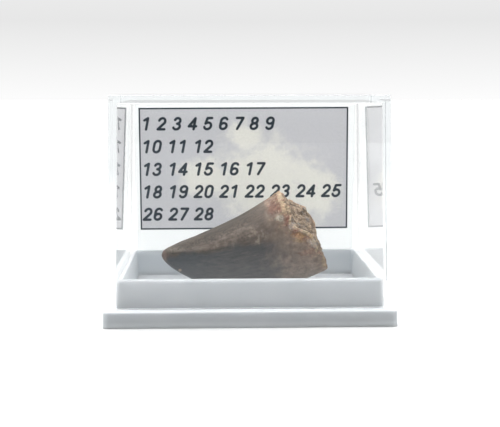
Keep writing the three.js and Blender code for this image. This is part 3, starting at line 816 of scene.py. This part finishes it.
def crown_place(distance, angle, fine=0.0):
    """A point of the crown's skin.

    The section is an oval whose half height is a power of the distance from the tip, on a centre line that
    dips and then rises. A shoulder lifts its sides, a keel runs along its top, and flutes, dents and the
    fine relief swell it. The underside is flat where it rests.
    """
    half = CROWN_SWELL * distance ** CROWN_POWER
    centre = TIP_Z - AXIS_FALL * distance + AXIS_RISE * distance ** 2
    side, up = np.cos(angle), np.sin(angle)
    keel = KEEL_HEIGHT * np.exp(-((np.arctan2(side, up) / KEEL_SPREAD) ** 2))
    flutes = FLUTE_DEPTH * np.cos(FLUTE_COUNT * angle)
    size = half / DENT_SIZE
    dents = DENT_DEPTH * lumps(distance / DENT_SIZE, side * size + DENT_SHIFT, up * size)
    swell = half * (1 + keel + flutes + dents) + fine
    lift = np.where(up > 0, CROWN_TOP_SHARE * up, up)
    z = centre + swell * (lift + CROWN_SHOULDER * side ** 2)
    x, y = TIP_X + distance, CROWN_CENTRE_Y + CROWN_SLIMNESS * swell * side
    return np.broadcast_arrays(x, y, np.maximum(z, TRAY_FLOOR + STANDING_GAP))


def break_x(y, z):
    """How far to the right the break stands at a place across the tooth.

    It falls back by a power of the height above and below its foremost level, and leans to the right with
    depth, most at one height. Lumps cover it, with a spur and a bulge behind and swells in front.
    """
    above = np.maximum(z - BREAK_HEIGHT, 0)
    below = np.maximum(BREAK_HEIGHT - z, 0)
    turn = TURN_BASE + TURN_AMOUNT * np.exp(-(((z - TURN_HEIGHT) / TURN_SPREAD) ** 2))
    lean = turn * np.minimum(y, TURN_BEHIND * y)
    lump = RIM_LUMP * lumps(y / RIM_LUMP_SIZE, z / RIM_LUMP_SIZE, RIM_SLICE)
    spur = SPUR_REACH * np.exp(-(((z - SPUR_HEIGHT) / SPUR_SPREAD) ** 2))
    bulge = BULGE_REACH * np.exp(-(((z - BULGE_HEIGHT) / BULGE_SPREAD) ** 2))
    far_side = (spur + bulge) * np.clip(y / SPUR_DEPTH, 0, 1)
    swells = sum(reach * np.exp(-(((z - height) / spread) ** 2)) for reach, height, spread in NEAR_SWELLS)
    near_side = swells * ease(-y, *NEAR_DEPTH)
    slant = BREAK_SLOPE * above ** BREAK_POWER + CHIN_SLOPE * below ** CHIN_POWER
    return BREAK_REACH - slant + lean + lump + far_side + near_side


def chunks(u, v):
    """Broken chunks: each place takes the height and tilt of the nearest of the centres scattered one to a
    square, and a crack runs where two centres are equally near."""
    i, j = np.floor(u), np.floor(v)
    nearest, second, height = np.full(u.shape, FAR_OFF), np.full(u.shape, FAR_OFF), np.zeros(u.shape)
    for di in (-1, 0, 1):
        for dj in (-1, 0, 1):
            ci, cj = i + di, j + dj
            du = u - (ci + 0.5 + CHUNK_SCATTER * lattice(ci, cj, 1.0))
            dv = v - (cj + 0.5 + CHUNK_SCATTER * lattice(ci, cj, 2.0))
            away = np.hypot(du, dv)
            tilt = lattice(ci, cj, 4.0) * du + lattice(ci, cj, 5.0) * dv
            level = lattice(ci, cj, 3.0) + CHUNK_TILT * tilt
            closer = away < nearest
            second = np.where(closer, nearest, np.minimum(second, away))
            height = np.where(closer, level, height)
            nearest = np.minimum(nearest, away)
    return height - CRACK_DEPTH * np.exp(-((second - nearest) / CRACK_WIDTH) ** 2)


def break_grit(y, z):
    """The break's fine relief in millimetres: broken chunks in two sizes, with crumbs over them."""
    u, v = (way / CHUNK_SIZE + CHUNK_WARP * lumps(y, z, part) for way, part in zip((y, z), WARP_SLICES))
    small = chunks(SMALL_CHUNK_RATE * u + SMALL_CHUNK_SHIFT, SMALL_CHUNK_RATE * v)
    crumbs = sum(height * lumps(y / size, z / size, part) for height, size, part in CRUMBS)
    return CHUNK_DEPTH * (chunks(u, v) + SMALL_CHUNK_SHARE * small) + crumbs


def break_relief(y, z, share):
    """Relief inside the break: it drops behind the crust at the rim, then runs in pits and grains."""
    inside = 1 - ease(share, CRUST_START, 1)
    pits = PIT_DEPTH * lumps(y / PIT_SIZE + PIT_SHIFT, z / PIT_SIZE, PIT_SLICE)
    grains = GRAIN_DEPTH * lumps(y / GRAIN_SIZE, z / GRAIN_SIZE + GRAIN_SHIFT, GRAIN_SLICE)
    return inside * (pits + grains - CRUST_STEP) + break_grit(y, z) * np.minimum(1, (1 - share) * FINE_FADE)


def layers(table, along, side, up):
    """Layers of lumps added up, each with its height, its length along the crown and its width across."""
    return sum(height * lumps(along / length, side / width, up / width) for height, length, width in table)


def skin_relief(distance, angle, gap):
    """Fine relief of the skin in millimetres.

    A lengthwise ridge stands out on the near side and dies away towards the break. Striae run along the
    crown, shallow wear dents it, and a chunky crust swells it within a few millimetres of the broken edge.
    """
    half = CROWN_SWELL * distance ** CROWN_POWER
    side, up = np.cos(angle) * half, np.sin(angle) * half
    ridge_at = math.pi - (RIDGE_START + (RIDGE_END - RIDGE_START) * ease(distance, *RIDGE_DRIFT))
    off_ridge = np.hypot(angle - ridge_at, RIDGE_ROUND)
    kept = ease(distance, *RIDGE_RISE) * (1 - RIDGE_LOSS * ease(distance, *RIDGE_FALL))
    ridge = RIDGE_HEIGHT * half * np.exp(-off_ridge / RIDGE_SPREAD) * kept
    near_rim = ease(gap + layers(CRUST_RAGGED, distance, side, up), *CRUST_REACH)
    rounding = ease(distance, 0, TIP_START) * np.exp(-distance / TIP_FADE)
    blunt = TIP_BLUNT * rounding * (TIP_SHARES[0] + TIP_SHARES[1] * np.sin(angle))
    worn = ease(distance, 0, CALM_END) * layers(STRIAE + WEAR, distance, side, up)
    return ridge + blunt + worn + near_rim * layers(CRUST_LUMPS, distance, side, up)


def make_tooth(look):
    """The tooth: skin rows from the tip to the break's rim, then rows across the break to its heart.

    Along each line of the skin, halving steps find where it meets the break. The skin's rows share out that
    length by a power, and the break's rows shrink the rim evenly towards the middle, at the break's relief.
    Each point also keeps its distance past the rim, its place for the streaks and its height in the break.
    """
    angle = np.arange(CROWN_SIDES) * 2 * math.pi / CROWN_SIDES
    near, far = np.full(CROWN_SIDES, SEARCH_FROM), np.full(CROWN_SIDES, SEARCH_TO)
    for _ in range(SEARCH_STEPS):
        middle = (near + far) / 2
        x, y, z = crown_place(middle, angle)
        short = x < break_x(y, z)
        near, far = np.where(short, middle, near), np.where(short, far, middle)
    reach = near + sum(height * lumps(angle * rate, part, 0.5) for height, rate, part in RIM_RIPPLES)
    share = ((np.arange(CROWN_ROWS) + 1) / CROWN_ROWS)[:, None] ** ROW_POWER
    distance = share * reach
    gap = distance - reach
    skin = np.stack(crown_place(distance, angle, skin_relief(distance, angle, gap)), -1)
    rim = skin[-1]
    middle_y = CROWN_CENTRE_Y
    middle_z = (rim[:, 2].max() + TRAY_FLOOR + STANDING_GAP) / 2
    inward = (np.arange(BREAK_ROWS - 1, 0, -1) / BREAK_ROWS)[:, None]
    y = middle_y + inward * (rim[:, 1] - middle_y)
    z = middle_z + inward * (rim[:, 2] - middle_z)
    rim_step = (rim[:, 0] - break_x(rim[:, 1], rim[:, 2])) * ease(inward, *RIM_BAND)
    relief = break_relief(y, z, inward)
    broken = np.stack([break_x(y, z) + relief + rim_step, y, z], -1)
    centre = np.array([middle_y]), np.array([middle_z])
    heart_x = (break_x(*centre) + break_relief(*centre, 0.0))[0]
    tip, heart = [[TIP_X, CROWN_CENTRE_Y, TIP_Z]], [[heart_x, middle_y, middle_z]]
    rows = np.concatenate([skin, broken])
    places = np.concatenate([rows.reshape(-1, 3), tip, heart])
    faces = ring_faces(len(rows), CROWN_SIDES).tolist()
    last = (len(rows) - 1) * CROWN_SIDES
    beside = [(here + 1) % CROWN_SIDES for here in range(CROWN_SIDES)]
    faces += [[len(places) - 2, after, here] for here, after in enumerate(beside)]
    faces += [[last + here, last + after, len(places) - 1] for here, after in enumerate(beside)]
    made = piece("tooth_crown", places, faces, [look])
    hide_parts("tooth")

    half = CROWN_SWELL * distance ** CROWN_POWER
    reach_in = np.hypot(rim[:, 1] - middle_y, rim[:, 2] - middle_z)
    past_rim = np.concatenate([gap.ravel(), ((1 - inward) * reach_in).ravel(), [TIP_GAP, FAR_OFF]])
    even = np.sqrt(STREAK_RADIUS * half)
    streak = np.stack([distance * STREAK_LENGTH, np.cos(angle) * even, np.sin(angle) * even], -1)
    streak = np.concatenate([streak.reshape(-1, 3), broken.reshape(-1, 3), [[0, 0, 0]], heart])
    height = np.concatenate([np.zeros(distance.size), break_grit(y, z).ravel(), [0.0, 0.0]])
    for name, kind, key, values in (("past_rim_mm", "FLOAT", "value", past_rim),
                                    ("streak_place", "FLOAT_VECTOR", "vector", streak),
                                    ("break_height", "FLOAT", "value", height)):
        kept = made.data.attributes.new(name, kind, "POINT")
        kept.data.foreach_set(key, values.astype(np.float32).ravel())
    return made


# Stage, light and camera

def make_stage():
    """A pale sheet running far out on every side, with a dark wedge of painted shade opening in front of the
    box.
    """
    made, tree = new_material("stage_paper")
    place = place_mm(tree)
    x, y, _ = add(tree, "SeparateXYZ", {0: place}).outputs
    white = ramp(tree, noise(tree, place, *STAGE_GRAIN), FLOOR_TINTS)
    white = scaled(tree, white, fade(tree, y, *FLOOR_FAR_FADE, 1.0, FLOOR_FAR))
    # Painted shade: a grey wedge on the floor that opens in front of the box.
    off_wedge = times(tree, y, FLOOR_WEDGE, maths(tree, "ABSOLUTE", x))
    wedge = fade(tree, off_wedge, *FLOOR_WEDGE_EDGE, 1.0, 0.0)
    near = times(tree, fade(tree, y, *FLOOR_FADE, 1.0, 0.0), wedge)
    tint = blend(tree, near, white, FLOOR_PAINTED_SHADE_TINT)
    shader = add(tree, "BsdfPrincipled", {"Base Color": tint, "Roughness": 0.9, "Specular IOR Level": 0.1})
    add(tree, "OutputMaterial", {"Surface": shader})
    mesh = bpy.data.meshes.new("floor")
    corners = [(FLOOR_SPAN * a, FLOOR_SPAN * b, 0) for a, b in ((-1, -1), (1, -1), (1, 1), (-1, 1))]
    mesh.from_pydata(corners, [], [(0, 1, 2, 3)])
    mesh.materials.append(made)
    floor = bpy.data.objects.new("floor", mesh)
    bpy.context.scene.collection.objects.link(floor)


def make_light():
    """A soft white tent: a broad lamp above, a pale wall behind that greys upwards, and little in front."""
    world = bpy.data.worlds.new("soft_tent")
    bpy.context.scene.world = world
    world.use_nodes = True
    tree = world.node_tree
    tree.nodes.clear()
    way = add(tree, "TexCoord").outputs["Generated"]
    _, y, z = add(tree, "SeparateXYZ", {0: way}).outputs
    to_lamp = vectors(tree, "DOT_PRODUCT", way, (0.0, LAMP_TILT, 1.0))
    lamp = fade(tree, to_lamp, *LAMP_EDGE, 0.0, LAMP_LEVEL)
    wall = ramp(tree, slope(tree, z, *SKY_SPAN), LOW_SKY)
    band = fade(tree, z, 0.0, FRONT_BAND_TOP, FRONT_BAND, SKY_FRONT)
    hole = fade(tree, y, -CAMERA_EDGE[0], -CAMERA_EDGE[1])
    front = add(tree, "Mix", {0: hole, 2: band, 3: CAMERA_SIDE})
    level = add(tree, "Mix", {0: fade(tree, y, *BACK_EDGE), 2: front, 3: wall})
    level = maths(tree, "ADD", level, lamp)
    shade = add(tree, "Background", {"Color": (1.0, 1.0, 1.0, 1.0), "Strength": level})
    add(tree, "OutputWorld", {"Surface": shade})


def make_camera():
    """The photograph's viewing angle: a little above the cover's top, looking slightly down."""
    lens = bpy.data.cameras.new("camera")
    lens.lens, lens.sensor_width = CAMERA_LENS, CAMERA_SENSOR
    lens.clip_start, lens.clip_end = CAMERA_CLIP
    camera = bpy.data.objects.new("camera", lens)
    camera.location = [place * MM for place in CAMERA_PLACE]
    camera.rotation_euler = (math.pi / 2 + CAMERA_TURN[0], CAMERA_TURN[1], CAMERA_TURN[2])
    bpy.context.scene.collection.objects.link(camera)
    bpy.context.scene.camera = camera


make_camera()
make_stage()
make_light()
make_base(white_polystyrene())
make_card(printed_paper(), plain_paper())
make_tooth(fossil_enamel())
make_cover(clear_polystyrene())

scene = bpy.context.scene
scene.view_settings.view_transform = "Standard"
scene.cycles.blur_glossy = 0.0
scene.cycles.max_bounces = 24
scene.cycles.transmission_bounces = 24
scene.cycles.glossy_bounces = 12
scene.cycles.diffuse_bounces = 6
